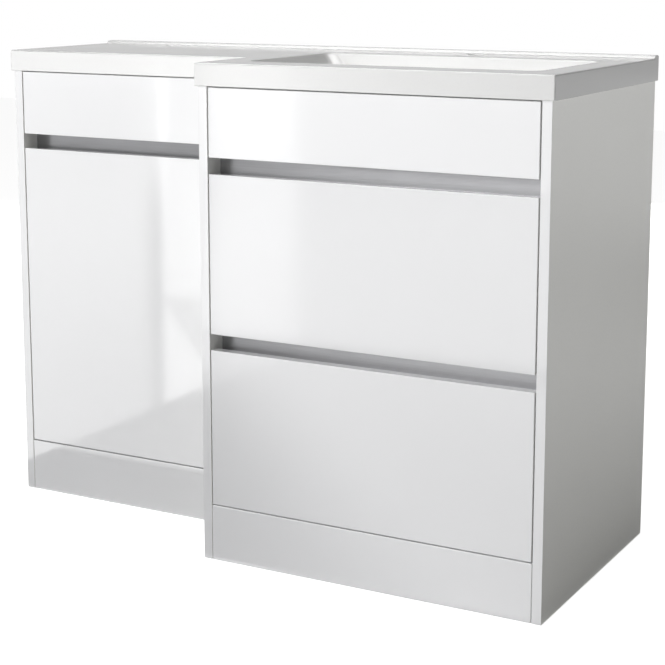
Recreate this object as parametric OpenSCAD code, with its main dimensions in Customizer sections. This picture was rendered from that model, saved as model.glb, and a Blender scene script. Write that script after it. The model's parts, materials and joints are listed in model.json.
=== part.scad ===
// Bathroom furniture: a deep vanity cabinet with two drawers and a shallow toilet
// cabinet beside it, both under one L-shaped cast basin top.
// X runs to the right, Y to the back, Z up. The origin is the centre of the footprint.

/* [Cabinets] */
// Width of the vanity cabinet
vanity_w = 600; // [560:10:800]
// Width of the toilet cabinet
wc_w = 500; // [400:10:600]
// Depth of the vanity cabinet
vanity_d = 465; // [455:5:520]
// Depth of the toilet cabinet
wc_d = 308; // [260:4:340]
// Height of both cabinets, from the floor to the underside of the top
carcass_h = 786; // [776:2:840]
// Thickness of the carcass boards
board = 16; // [15:0.5:18]
// Thickness of drawer fronts, fascias, plinths and front panel
front_t = 18; // [16:0.5:19]

/* [Fronts] */
// Height of the plinths
plinth_h = 94; // [80:1:110]
// Gap beside and under the fronts
reveal = 2; // [1.5:0.5:4]
// Gap between the fascias and the top
top_gap = 1.5; // [1:0.5:4]
// Gap at each end of a plinth
plinth_gap = 0.8; // [0.4:0.1:1]
// Height of the lower drawer front
lower_front_h = 261; // [241:2:281]
// Height of the upper drawer front
upper_front_h = 262; // [240:2:270]
// Height of each finger gap
finger_gap = 26.5; // [22:0.5:32]

/* [Handle rails] */
// Distance from the front faces back to the rail behind a finger gap
rail_setback = 38; // [34:1:44]
// Wall of the rail
rail_t = 2; // [1.5:0.1:3]
// How far the rail reaches below its finger gap
rail_drop = 8; // [6:1:26]
// How far the rail reaches above its finger gap
rail_rise = 4; // [3:0.5:6]
// Clearance between the rail's lips and the fronts
rail_clear = 1; // [0.5:0.1:2]

/* [Inner boards] */
// Gap between a handle rail and the front rail above it
rail_over = 12; // [8:1:16]
// Clearance between the fronts and the base board
base_clear = 2; // [1:0.5:4]
// Height of the vanity's low back rail
low_rail_h = 84; // [70:1:100]
// Height of the toilet cabinet's middle back rail above the floor
mid_rail_z0 = 400; // [360:5:420]
// Width of the toilet cabinet's middle back rail
mid_rail_h = 84; // [70:1:100]
// Height of the toilet cabinet's foot rail above the floor
foot_rail_z0 = 20; // [10:1:30]
// Clearance over and under the battens
batten_clear = 2; // [1:0.5:4]

/* [Basin top] */
// Height of the top's edge
top_t = 37; // [32:1:45]
// Overhang of the top at both ends
side_over = 5; // [2:1:10]
// Overhang of the top at the front
front_over = 5; // [2:1:10]
// Thickness of the deck between the edges
deck_t = 12; // [10:0.5:16]
// Height of the upstand along the back
upstand_h = 5; // [4:0.5:10]
// Depth of the upstand, front to back
upstand_t = 18; // [14:1:24]
// Radius of the cove in front of the upstand
cove_r = 5; // [3:0.5:8]
// Width of the bowl at its rim
bowl_w = 504; // [440:2:520]
// Depth of the bowl at its rim, front to back
bowl_d = 277; // [250:1:290]
// Distance from the top's front edge to the bowl
bowl_margin = 70; // [60:1:80]
// Height of the bowl inside
bowl_h = 115; // [95:1:125]
// Plan radius of the rim's corners
rim_r = 22; // [12:1:30]
// How far the side walls lean in, rim to floor
lean_side = 75; // [40:1:85]
// How far the front wall leans in, rim to floor
lean_front = 34; // [15:1:50]
// How far the back wall leans in, rim to floor
lean_back = 12; // [6:1:20]
// Radius between the bowl's walls and its floor
floor_r = 26; // [15:1:34]
// Thickness of the bowl's walls and floor
bowl_wall = 9; // [7:0.5:12]
// Radius of the tap hole
tap_r = 17.5; // [16:0.5:18]
// Distance from the back edge to the tap hole's centre
tap_back = 52; // [48:1:58]
// Radius of the waste hole
waste_r = 22.5; // [21:0.5:24]
// Distance from the rim's back edge to the waste hole's centre
waste_back = 100; // [90:1:120]
// Radius of the boss under the waste hole
waste_boss_r = 36; // [32:1:42]
// Height of the boss under the waste hole
waste_boss_h = 8; // [5:0.5:12]
// Radius of the overflow hole
overflow_r = 11; // [8:0.5:12]
// Distance from the rim down to the overflow hole's centre
overflow_down = 48; // [42:1:56]
// Width of the overflow duct behind the bowl
duct_w = 44; // [36:1:56]
// Depth of the overflow duct behind the bowl
duct_d = 30; // [26:1:36]
// Radius of the duct's outlet
outlet_r = 8; // [6:0.5:10]

/* [Drawers] */
// Thickness of the drawer box boards
box_t = 15; // [12:0.5:16]
// Space for pipes between the drawer boxes and the back rails
service_gap = 31; // [28:1:60]
// Height of the upper drawer box
upper_box_h = 150; // [120:5:180]
// Height of the lower drawer box
lower_box_h = 190; // [150:5:195]
// Distance from the bottom of a front up to its drawer box
box_raise = 19; // [17:1:22]
// Thickness of the drawer bottoms
bottom_t = 8; // [6:0.5:10]
// Depth of the groove that holds a drawer bottom
groove = 6; // [4:0.5:8]
// Distance from the lower edge of a box to its bottom board
bottom_raise = 10; // [8:1:14]
// Width of the space that the upper drawer leaves for the waste pipe
trap_w = 200; // [160:5:240]
// Length of that space, from the back of the drawer
trap_d = 240; // [200:5:260]

/* [Runners] */
// Height of a runner
runner_h = 45; // [42:0.5:46]
// Width of a runner, which is the space beside a drawer box
runner_t = 12.7; // [12.5:0.1:13.5]
// Sheet thickness of the runner members
steel = 1.2; // [1:0.1:1.4]
// Distance from the lower edge of a drawer box to its runner's centre
runner_lift = 40; // [32:1:60]
// Distance from the fronts' back faces to the runners
runner_inset = 2; // [1:0.5:6]
// Pitch of the hole rows that the runners are screwed to
hole_pitch = 32; // [25:1:32]
// Distance from a runner's front end to its first hole row
hole_start = 5; // [4:0.5:12]
// Radius of a runner screw's flat head
run_head_r = 3; // [2.8:0.1:3.4]
// Radius of the bearing balls
ball_r = 1.5; // [1.3:0.1:1.7]
// Clearance between a ball and each race
ball_play = 0.1; // [0.05:0.01:0.15]
// Sheet thickness of a ball cage
cage_t = 0.8; // [0.6:0.1:0.9]
// Clearance on each side of a ball cage
cage_play = 0.2; // [0.2:0.05:0.3]
// Length of a ball cage
cage_l = 150; // [120:5:180]
// Balls in one row of a cage
balls = 6; // [4:1:8]

/* [Fittings] */
// Radius of a cam lock
cam_r = 7.5; // [7:0.25:8]
// Height of a cam lock
cam_h = 12.5; // [12:0.25:13.5]
// Distance from a board's end to the centre of its cam lock
cam_reach = 24; // [22:1:34]
// Radius of a cam bolt
bolt_r = 3; // [2.5:0.1:3.2]
// Depth of bolts and dowels in a side board
fix_depth = 11; // [10:0.5:12]
// Radius of a dowel
dowel_r = 4; // [3:0.5:4]
// Length of a dowel
dowel_l = 30; // [28:1:34]
// Distance from a cam bolt to its dowel
dowel_step = 32; // [24:1:32]
// Radius of a screw's shank
screw_r = 1.8; // [1.5:0.1:2]
// Radius of a screw's head
head_r = 3.5; // [3:0.1:4]
// Height of a screw's head
head_h = 2; // [1.5:0.1:2.5]
// Radius of the push-in studs of the removable panels
stud_r = 3; // [2.5:0.1:3.5]
// How far a stud reaches out of its panel, and as far into it
stud_l = 10; // [8:0.5:12]
// Sliding clearance of a stud in its socket
stud_play = 0.06; // [0.04:0.01:0.1]
// Depth of a stud's socket
socket_l = 12; // [11:0.5:13]
// Thickness of a socket's floor
socket_floor = 1; // [0.8:0.1:1.2]
// Outer radius of a stud's socket
socket_r = 5.5; // [5:0.1:6]
// Width of the battens beside the front panel
batten_w = 24; // [20:1:30]
// Depth of the battens beside the front panel
batten_d = 30; // [22:1:40]
// Side of a wall bracket's legs
bracket_leg = 40; // [34:1:50]
// Height of a wall bracket
bracket_h = 30; // [24:1:40]
// Sheet thickness of a wall bracket
bracket_t = 2; // [1.5:0.1:3]
// Radius of a wall bracket's wall hole
bracket_hole_r = 3.5; // [3:0.1:4]
// Side of a plinth's corner block
block_s = 22; // [18:1:26]
// Distance of screws and bolts from the nearest end of a board
end_in = 60; // [50:1:70]
// Height of a cam bolt above the lower edge of an upright board
bolt_up = 24; // [20:1:28]
// Distance from the back to the bolts that join the cabinets
join_back = 40; // [36:1:60]
// Radius of a joining bolt's head
join_head_r = 7; // [6:0.5:8]
// Height of a joining bolt's head
join_head_h = 2.5; // [2:0.1:3]
// Outer radius of a joining bolt's sleeve
sleeve_r = 4; // [3.6:0.1:5]
// Distance from the top rails down to the wall brackets' lower edge
bracket_drop = 80; // [75:1:100]
// How far a screw bites into its board
screw_grip = 12; // [8:0.5:13]
// How far a screw bites into a drawer box's board
box_grip = 10; // [8:0.5:11]
// How far a corner screw bites into a drawer box's front or back
corner_grip = 30; // [25:1:40]
// Distance from a drawer box's ends to the screws of its front
front_screw_in = 50; // [42:1:80]
// Distance from a drawer box's lower edge to the lower screws of its front
front_screw_up = 35; // [30:1:45]
// Distance from a drawer box's upper edge to the upper screws of its front
front_screw_down = 30; // [26:1:40]
// Distance from a runner or an upper edge to the corner screws
corner_in = 12; // [8:0.5:16]

/* [Hidden] */
$fn = 48;
eps = 1;

// Outer box and the cabinets' planes
x_right = (vanity_w + wc_w) / 2;
x_left = -x_right;
x_split = x_right - vanity_w;
y_back = (vanity_d + front_over) / 2;
y_vanity = y_back - vanity_d;
y_wc = y_back - wc_d;
van_l = x_split + board;
van_r = x_right - board;
wc_l = x_left + board;
wc_r = x_split - board;

// Heights of the fronts, the same on both cabinets
low_z0 = plinth_h + reveal;
low_z1 = low_z0 + lower_front_h;
up_z0 = low_z1 + finger_gap;
up_z1 = up_z0 + upper_front_h;
fascia_z0 = up_z1 + finger_gap;
fascia_z1 = carcass_h - top_gap;

// Rails inside the cabinets
base_z1 = plinth_h + board;
base_y0 = y_vanity + front_t + base_clear;
rail_z0 = fascia_z0 + rail_rise + rail_over;
foot_rail_z1 = low_z0 + batten_w;
batten_z0 = foot_rail_z1 + batten_clear;
batten_z1 = up_z1 - rail_drop - batten_clear;

// Top and bowl
top_z = carcass_h + top_t;
deck_z = top_z - deck_t;
top_y0 = y_vanity - front_over;
wc_top_y0 = y_wc - front_over;
bowl_x = (x_split + x_right) / 2;
bowl_y0 = top_y0 + bowl_margin;
bowl_y1 = bowl_y0 + bowl_d;
floor_z = top_z - bowl_h;
waste_y = bowl_y1 - waste_back;
tap_y = y_back - tap_back;
overflow_z = top_z - overflow_down;
upstand_y = y_back - upstand_t;

// Drawer boxes
box_x0 = van_l + runner_t;
box_x1 = van_r - runner_t;
box_y0 = y_vanity + front_t;
box_y1 = y_back - board - service_gap;
low_box_z = low_z0 + box_raise;
up_box_z = up_z0 + box_raise;
trap_y0 = box_y1 - trap_d;

// Runner section: u is measured from the cabinet side, w from the runner's middle
run_y0 = box_y0 + runner_inset;
runner_l = box_y1 - box_y0;
u_mid = steel + 2 * cage_play + cage_t;
u_inner = u_mid + steel + 2 * cage_play + cage_t;
w_cab = runner_h / 2;
w_ball1 = w_cab - steel - ball_play - ball_r;
w_mid = w_ball1 - ball_r - ball_play;
w_ball2 = w_mid - steel - ball_play - ball_r;
w_inner = w_ball2 - ball_r - ball_play;
cab_flange_u = 9;
mid_flange_u = 10;
ball1_u = 6;
ball2_u = 7.4;
cage_pitch = cage_l / balls;

// Fixings of the horizontal members: inner face of the side board, direction into the
// member, y and z of the cam bolt, and the side that its cam lock opens to: 1 is the
// back, -1 the front and 0 the underside of a flat member
base_joints = [for (s = [[van_l, 1], [van_r, -1]]) for (y = [base_y0 + end_in, y_back - end_in])
    [s[0], s[1], y, plinth_h + board / 2, 0]];
van_top_joints = [for (s = [[van_l, 1], [van_r, -1]])
    [s[0], s[1], y_back - board / 2, rail_z0 + bolt_up, -1]];
van_low_joints = [for (s = [[van_l, 1], [van_r, -1]])
    [s[0], s[1], y_back - board / 2, base_z1 + bolt_up, -1]];
van_front_joints = [for (s = [[van_l, 1], [van_r, -1]])
    [s[0], s[1], y_vanity + front_t + board / 2, rail_z0 + bolt_up, 1]];
wc_top_joints = [for (s = [[wc_l, 1], [wc_r, -1]])
    [s[0], s[1], y_back - board / 2, rail_z0 + bolt_up, -1]];
wc_mid_joints = [for (s = [[wc_l, 1], [wc_r, -1]])
    [s[0], s[1], y_back - board / 2, mid_rail_z0 + bolt_up, -1]];
wc_front_joints = [for (s = [[wc_l, 1], [wc_r, -1]])
    [s[0], s[1], y_wc + front_t + board / 2, rail_z0 + bolt_up, 1]];
wc_foot_joints = [for (s = [[wc_l, 1], [wc_r, -1]])
    [s[0], s[1], y_wc + front_t + board / 2, foot_rail_z0 + bolt_up, 1]];
van_joints = concat(base_joints, van_top_joints, van_low_joints, van_front_joints);
wc_joints = concat(wc_top_joints, wc_mid_joints, wc_front_joints, wc_foot_joints);
all_joints = concat(van_joints, wc_joints);

// Bolts that join the two cabinets: y and z
join_points = [for (y = [y_back - join_back, y_wc + end_in])
    for (z = [plinth_h / 2, rail_z0 - bolt_up]) [y, z]];

// Wall brackets: inner face of the side board and direction into the cabinet
bracket_z = rail_z0 - bracket_drop;
van_brackets = [[van_l, 1], [van_r, -1]];
wc_brackets = [[wc_l, 1], [wc_r, -1]];
all_brackets = concat(van_brackets, wc_brackets);
hole_in = bracket_leg / 2;

// Corner blocks behind the vanity's plinth
block_xs = [van_l, bowl_x - block_s / 2, van_r - block_s];
block_y = y_vanity + front_t;
block_z = plinth_h - block_s;

// Screws through the vanity's front rail into its fascia: x and z
fascia_screws = [for (x = [van_l + end_in, bowl_x, van_r - end_in]) [x, (rail_z0 + fascia_z1) / 2]];

// Studs of the toilet cabinet's removable panels: x, z, and whether a batten holds them
panel_x0 = wc_l + reveal;
panel_x1 = wc_r - reveal;
stud_xs = [wc_l + batten_w / 2, wc_r - batten_w / 2];
fascia_stud_z = (rail_z0 + fascia_z1) / 2;
fascia_studs = [for (x = [stud_xs[0] + end_in, stud_xs[1] - end_in]) [x, fascia_stud_z]];
panel_studs = [for (x = stud_xs) for (z = [low_z0 + batten_w / 2, batten_z1 - batten_w]) [x, z]];
stud_y = y_wc + front_t;

// ---- Helpers ----

module block(lo, hi) translate(lo) cube(hi - lo);

// A cylinder along +X or -X from a point
module rod_x(p, dir, r, l) translate(p) rotate([0, 90 * dir, 0]) cylinder(r = r, h = l);

// A cylinder along +Y or -Y from a point
module rod_y(p, dir, r, l) translate(p) rotate([-90 * dir, 0, 0]) cylinder(r = r, h = l);

// A cam lock's cylinder, from past its member's face inwards
module cam_at(j, r, h, past) {
    x = j[0] + j[1] * cam_reach;
    if (j[4] == 0) translate([x, j[2], j[3] - board / 2 - past]) cylinder(r = r, h = h + past);
    else rod_y([x, j[2] + j[4] * (board / 2 + past), j[3]], -j[4], r, h + past);
}

// A dowel lies in front of its bolt in a flat member and above it in an upright one
function dowel_at(j) = j[4] == 0 ? [j[2] - dowel_step, j[3]] : [j[2], j[3] + dowel_step];

module bolt_shape(j) rod_x([j[0] - j[1] * fix_depth, j[2], j[3]], j[1], bolt_r, fix_depth + cam_reach);

module dowel_shape(j) {
    d = dowel_at(j);
    rod_x([j[0] - j[1] * fix_depth, d[0], d[1]], j[1], dowel_r, dowel_l);
}

module joint_bores(joints) for (j = joints) {
    bolt_shape(j);
    dowel_shape(j);
    cam_at(j, cam_r, cam_h, eps);
}

function at_face(joints, x) = [for (j = joints) if (j[0] == x) j];

// Holes in a side board for its own bolts and dowels
module side_bores(joints) for (j = joints) {
    bolt_shape(j);
    dowel_shape(j);
}

module join_bores(x0, x1, r) for (p = join_points)
    rod_x([x0 - eps, p[0], p[1]], 1, r, x1 - x0 + 2 * eps);

// A screw: head on a face, shank along an axis
module screw_y(x, y, z, dir, shank) {
    rod_y([x, y, z], -dir, head_r, head_h);
    rod_y([x, y, z], dir, screw_r, shank);
}

// Shanks of the screws that fasten the wall brackets to one side board
module bracket_screw_shank(b, h0) rod_x([b[0] + b[1] * h0, y_back - hole_in, bracket_z + bracket_h / 2],
    -b[1], screw_r, screw_grip + h0);

// ---- Basin top ----

module top_outline() polygon([
    [x_left - side_over, y_back], [x_left - side_over, wc_top_y0],
    [x_split - side_over, wc_top_y0], [x_split - side_over, top_y0],
    [x_right + side_over, top_y0], [x_right + side_over, y_back]]);

// The bowl as a hull of its rim's and its floor's corners, grown by g on all sides
module bowl_form(g, z_top) hull() {
    for (sx = [-1, 1]) for (y = [bowl_y0 + rim_r, bowl_y1 - rim_r])
        translate([bowl_x + sx * (bowl_w / 2 - rim_r), y, z_top - 1])
            cylinder(r = rim_r + g, h = 1, $fn = 32);
    for (sx = [-1, 1]) for (y = [bowl_y0 + lean_front + floor_r, bowl_y1 - lean_back - floor_r])
        translate([bowl_x + sx * (bowl_w / 2 - lean_side - floor_r), y, floor_z + floor_r])
            sphere(r = floor_r + g, $fn = 32);
}

module upstand() difference() {
    block([x_left - side_over, upstand_y - cove_r, top_z - eps],
        [x_right + side_over, y_back, top_z + upstand_h]);
    rod_x([x_left - side_over - eps, upstand_y - cove_r, top_z + cove_r], 1, cove_r,
        2 * (x_right + side_over + eps));
    block([x_left - side_over - eps, upstand_y - 2 * cove_r, top_z + cove_r],
        [x_right + side_over + eps, upstand_y, top_z + 2 * cove_r]);
}

module basin_top() color("white") difference() {
    union() {
        difference() {
            translate([0, 0, carcass_h]) linear_extrude(top_t) top_outline();
            block([van_l, y_vanity + front_t + board, carcass_h - eps],
                [van_r, y_back - board, deck_z]);
            block([wc_l, y_wc + front_t + board, carcass_h - eps],
                [wc_r, y_back - board, deck_z]);
        }
        bowl_form(bowl_wall, deck_z + eps);
        translate([bowl_x, waste_y, floor_z - bowl_wall - waste_boss_h])
            cylinder(r = waste_boss_r, h = waste_boss_h + bowl_wall);
        block([bowl_x - duct_w / 2, bowl_y1 - lean_back, floor_z],
            [bowl_x + duct_w / 2, bowl_y1 + duct_d, deck_z + eps]);
        upstand();
    }
    bowl_form(0, top_z + eps);
    translate([bowl_x, waste_y, floor_z - bowl_wall - waste_boss_h - eps])
        cylinder(r = waste_r, h = bowl_h);
    translate([bowl_x, tap_y, deck_z - eps]) cylinder(r = tap_r, h = deck_t + 2 * eps);
    rod_y([bowl_x, bowl_y1 - lean_back - floor_r, overflow_z], 1, overflow_r,
        lean_back + floor_r + duct_d - bowl_wall);
    translate([bowl_x, bowl_y1 + duct_d - bowl_wall - outlet_r, floor_z - eps])
        cylinder(r = outlet_r, h = overflow_z - floor_z + eps);
}

// ---- Cabinet boards ----

module vanity_side(x0, inner) difference() {
    block([x0, y_vanity, 0], [x0 + board, y_back, carcass_h]);
    side_bores(at_face(van_joints, inner));
}

module vanity_side_left() color("gainsboro") difference() {
    vanity_side(x_split, van_l);
    join_bores(x_split, van_l, sleeve_r);
    runner_screws(van_l, 1);
    bracket_screw_shank(van_brackets[0], 0);
}

module vanity_side_right() color("gainsboro") difference() {
    vanity_side(van_r, van_r);
    runner_screws(van_r, -1);
    bracket_screw_shank(van_brackets[1], 0);
}

module vanity_base() color("gainsboro") difference() {
    block([van_l, base_y0, plinth_h], [van_r, y_back, base_z1]);
    joint_bores(base_joints);
    for (x = block_xs) block_screw(x);
}

module upright_rail(x0, x1, y0, z0, z1, joints) difference() {
    block([x0, y0, z0], [x1, y0 + board, z1]);
    joint_bores(joints);
}

module vanity_back_rail_top() color("gainsboro")
    upright_rail(van_l, van_r, y_back - board, rail_z0, carcass_h, van_top_joints);

module vanity_back_rail_low() color("gainsboro")
    upright_rail(van_l, van_r, y_back - board, base_z1, base_z1 + low_rail_h, van_low_joints);

module vanity_front_rail() color("gainsboro") difference() {
    upright_rail(van_l, van_r, y_vanity + front_t, rail_z0, carcass_h, van_front_joints);
    for (s = fascia_screws) rod_y([s[0], y_vanity + front_t - eps, s[1]], 1, screw_r, board + 2 * eps);
}

module vanity_fascia() color("white") difference() {
    block([van_l + reveal, y_vanity, fascia_z0], [van_r - reveal, y_vanity + front_t, fascia_z1]);
    for (s = fascia_screws) rod_y([s[0], y_vanity + front_t + eps, s[1]], -1, screw_r, screw_grip + eps);
}

module vanity_plinth() color("white") difference() {
    block([van_l + plinth_gap, y_vanity, 0], [van_r - plinth_gap, y_vanity + front_t, plinth_h]);
    for (x = block_xs) block_plinth_screw(x);
}

module wc_side_left() color("gainsboro") difference() {
    block([x_left, y_wc, 0], [wc_l, y_back, carcass_h]);
    side_bores(at_face(wc_joints, wc_l));
    bracket_screw_shank(wc_brackets[0], 0);
}

module wc_side_right() color("gainsboro") difference() {
    block([wc_r, y_wc, 0], [x_split, y_back, carcass_h]);
    side_bores(at_face(wc_joints, wc_r));
    join_bores(wc_r, x_split, sleeve_r);
    bracket_screw_shank(wc_brackets[1], 0);
}

module wc_back_rail_top() color("gainsboro")
    upright_rail(wc_l, wc_r, y_back - board, rail_z0, carcass_h, wc_top_joints);

module wc_back_rail_mid() color("gainsboro")
    upright_rail(wc_l, wc_r, y_back - board, mid_rail_z0, mid_rail_z0 + mid_rail_h, wc_mid_joints);

module wc_front_rail() color("gainsboro") difference() {
    upright_rail(wc_l, wc_r, stud_y, rail_z0, carcass_h, wc_front_joints);
    for (s = fascia_studs) socket_bore(s);
}

module wc_foot_rail() color("gainsboro") difference() {
    upright_rail(wc_l, wc_r, stud_y, foot_rail_z0, foot_rail_z1, wc_foot_joints);
    for (s = panel_studs) if (s[1] < foot_rail_z1) socket_bore(s);
}

module wc_battens() color("gainsboro") difference() {
    for (x = [wc_l, wc_r - batten_w])
        block([x, stud_y, batten_z0], [x + batten_w, stud_y + batten_d, batten_z1]);
    for (s = panel_studs) if (s[1] > foot_rail_z1) socket_bore(s);
}

module wc_plinth() color("white")
    block([wc_l + plinth_gap, y_wc, 0], [wc_r - plinth_gap, y_wc + front_t, plinth_h]);

// ---- Handle rails ----

// A C-shaped rail behind a finger gap that starts at z
module handle_rail(x0, x1, y_front, z) {
    y_lip = y_front + front_t + rail_clear;
    y_web = y_front + rail_setback;
    z0 = z - rail_drop;
    z1 = z + finger_gap + rail_rise;
    translate([x0, 0, 0]) rotate([90, 0, 90]) linear_extrude(x1 - x0) polygon([
        [y_lip, z0], [y_web + rail_t, z0], [y_web + rail_t, z1], [y_lip, z1],
        [y_lip, z1 - rail_t], [y_web, z1 - rail_t], [y_web, z0 + rail_t], [y_lip, z0 + rail_t]]);
}

module vanity_handle_rail_upper() color("silver") handle_rail(van_l, van_r, y_vanity, up_z1);
module vanity_handle_rail_lower() color("silver") handle_rail(van_l, van_r, y_vanity, low_z1);
module wc_handle_rail() color("silver") handle_rail(wc_l, wc_r, y_wc, up_z1);

// ---- Fittings of the carcass ----

module cam_locks() color("silver") for (j = all_joints) difference() {
    cam_at(j, cam_r, cam_h, 0);
    bolt_shape(j);
}

module cam_bolts() color("darkgray") for (j = all_joints) bolt_shape(j);

module dowels() color("burlywood") for (j = all_joints) dowel_shape(j);

// The screws of a corner block lie side by side: one up into the base, one into the plinth
module block_screw(x) translate([x + block_s / 4, block_y + block_s * 2 / 3, block_z])
    cylinder(r = screw_r, h = block_s + screw_grip);
module block_plinth_screw(x)
    rod_y([x + block_s * 3 / 4, block_y + block_s, block_z + block_s / 2], -1, screw_r, block_s + screw_grip);

module corner_blocks() color("white") for (x = block_xs) difference() {
    block([x, block_y, block_z], [x + block_s, block_y + block_s, plinth_h]);
    block_screw(x);
    block_plinth_screw(x);
}

module carcass_screws() color("darkgray") {
    for (s = fascia_screws)
        screw_y(s[0], y_vanity + front_t + board, s[1], -1, board + screw_grip);
    for (x = block_xs) {
        block_screw(x);
        translate([x + block_s / 4, block_y + block_s * 2 / 3, block_z - head_h])
            cylinder(r = head_r, h = head_h);
        screw_y(x + block_s * 3 / 4, block_y + block_s, block_z + block_s / 2, -1, block_s + screw_grip);
    }
    for (b = all_brackets) {
        bracket_screw_shank(b, bracket_t);
        rod_x([b[0] + b[1] * bracket_t, y_back - hole_in, bracket_z + bracket_h / 2], b[1], head_r, head_h);
    }
}

module connector_bolts() color("darkgray") for (p = join_points) {
    rod_x([van_l, p[0], p[1]], 1, join_head_r, join_head_h);
    rod_x([van_l, p[0], p[1]], -1, bolt_r, board * 2 - sleeve_r);
}

module connector_sleeves() color("darkgray") for (p = join_points) difference() {
    union() {
        rod_x([wc_r, p[0], p[1]], -1, join_head_r, join_head_h);
        rod_x([wc_r, p[0], p[1]], 1, sleeve_r, board * 2 - join_head_h);
    }
    rod_x([wc_r, p[0], p[1]], 1, bolt_r, board * 2);
}

module wall_brackets() color("silver") for (b = all_brackets) {
    x0 = min(b[0], b[0] + b[1] * bracket_leg);
    xt = min(b[0], b[0] + b[1] * bracket_t);
    difference() {
        union() {
            block([xt, y_back - bracket_leg, bracket_z], [xt + bracket_t, y_back, bracket_z + bracket_h]);
            block([x0, y_back - bracket_t, bracket_z], [x0 + bracket_leg, y_back, bracket_z + bracket_h]);
        }
        rod_y([b[0] + b[1] * hole_in, y_back + eps, bracket_z + bracket_h / 2], -1, bracket_hole_r,
            bracket_t + 2 * eps);
        bracket_screw_shank(b, bracket_t + eps);
    }
}

module socket_bore(s) rod_y([s[0], stud_y - eps, s[1]], 1, socket_r, socket_l + eps);

module stud_sockets() color("whitesmoke") for (s = concat(fascia_studs, panel_studs)) difference() {
    rod_y([s[0], stud_y, s[1]], 1, socket_r, socket_l);
    rod_y([s[0], stud_y - eps, s[1]], 1, stud_r + stud_play, socket_l - socket_floor + eps);
}

// ---- Removable panels of the toilet cabinet ----

module studs(points) for (s = points) rod_y([s[0], stud_y - stud_l, s[1]], 1, stud_r, 2 * stud_l);

module wc_panel(z0, z1, points) difference() {
    block([panel_x0, y_wc, z0], [panel_x1, stud_y, z1]);
    for (s = points) rod_y([s[0], stud_y + eps, s[1]], -1, stud_r, stud_l + eps);
}

module wc_fascia() color("white") wc_panel(fascia_z0, fascia_z1, fascia_studs);
module wc_fascia_studs() color("whitesmoke") studs(fascia_studs);
module wc_front_panel() color("white") wc_panel(low_z0, up_z1, panel_studs);
module wc_panel_studs() color("whitesmoke") studs(panel_studs);

// ---- Runners ----

up_runner_z = up_box_z + runner_lift;
low_runner_z = low_box_z + runner_lift;
run_sides = [[van_l, 1], [van_r, -1]];
run_screw_ys = [for (k = [1, 6, 10]) run_y0 + hole_start + hole_pitch * k];
cage_y0 = run_y0 + (runner_l - cage_l) / 2;

// A profile of the runner's section drawn along Y on both sides of the cabinet
module run_profile(zc, y0, l, points) for (s = run_sides)
    translate([s[0], y0 + l, zc]) rotate([90, 0, 0]) linear_extrude(l)
        polygon([for (p = points) [s[1] * p[0], p[1]]]);

// A channel with its web from u0 to u1 and its flanges' ends at u_end, w half its height
function channel(u0, u1, u_end, w, t) = [[u0, -w], [u_end, -w], [u_end, t - w], [u1, t - w],
    [u1, w - t], [u_end, w - t], [u_end, w], [u0, w]];

module runner_screws(x, dir) for (zc = [up_runner_z, low_runner_z]) for (y = run_screw_ys)
    rod_x([x, y, zc], -dir, screw_r, screw_grip);

module cabinet_runner(zc) difference() {
    run_profile(zc, run_y0, runner_l, channel(0, steel, cab_flange_u, w_cab, steel));
    for (s = run_sides) for (y = run_screw_ys)
        rod_x([s[0] - s[1] * eps, y, zc], s[1], run_head_r, steel + 2 * eps);
}
module upper_cabinet_runners() color("silver") cabinet_runner(up_runner_z);
module lower_cabinet_runners() color("silver") cabinet_runner(low_runner_z);

module cabinet_runner_screws() color("darkgray")
    for (zc = [up_runner_z, low_runner_z]) for (s = run_sides) for (y = run_screw_ys) {
        rod_x([s[0], y, zc], s[1], run_head_r, steel);
        rod_x([s[0], y, zc], -s[1], screw_r, screw_grip);
    }

module middle_runner(zc)
    run_profile(zc, run_y0, runner_l, channel(u_mid, u_mid + steel, mid_flange_u, w_mid, steel));
module upper_middle_runners() color("lightgray") middle_runner(up_runner_z);
module lower_middle_runners() color("lightgray") middle_runner(low_runner_z);

module drawer_runner(zc) difference() {
    run_profile(zc, run_y0, runner_l, channel(runner_t, runner_t - steel, u_inner, w_inner, steel));
    for (s = run_sides) for (y = run_screw_ys)
        rod_x([s[0] + s[1] * (runner_t - steel - eps), y, zc], s[1], run_head_r, steel + 2 * eps);
}

// Places of a cage's balls: x, y and z
function ball_points(zc, u, w) = [for (s = run_sides) for (sw = [-1, 1]) for (k = [0:balls - 1])
    [s[0] + s[1] * u, cage_y0 + (k + 0.5) * cage_pitch, zc + sw * w]];

module ball_cage(zc, u_web, u_ball, w_ball) {
    points = ball_points(zc, u_ball, w_ball);
    difference() {
        run_profile(zc, cage_y0, cage_l, channel(u_web, u_web + cage_t, u_ball + ball_r + 1,
            w_ball + cage_t / 2, cage_t));
        for (p = points) translate([p[0], p[1], p[2] - cage_t])
            cylinder(r = ball_r + ball_play, h = 2 * cage_t);
    }
    for (p = points) translate(p) sphere(r = ball_r);
}
module outer_cages(zc) ball_cage(zc, steel + cage_play, ball1_u, w_ball1);
module inner_cages(zc) ball_cage(zc, u_mid + steel + cage_play, ball2_u, w_ball2);
module upper_outer_ball_cages() color("gray") outer_cages(up_runner_z);
module upper_inner_ball_cages() color("gray") inner_cages(up_runner_z);
module lower_outer_ball_cages() color("gray") outer_cages(low_runner_z);
module lower_inner_ball_cages() color("gray") inner_cages(low_runner_z);

// ---- Drawers ----

function front_screw_points(z0, h) = [for (x = [box_x0 + front_screw_in, box_x1 - front_screw_in])
    for (z = [z0 + front_screw_up, z0 + h - front_screw_down]) [x, z]];
function corner_points(z0, h) = [for (y = [box_y0 + box_t / 2, box_y1 - box_t / 2])
    for (z = [z0 + runner_lift + runner_h / 2 + corner_in, z0 + h - corner_in]) [y, z]];

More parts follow.
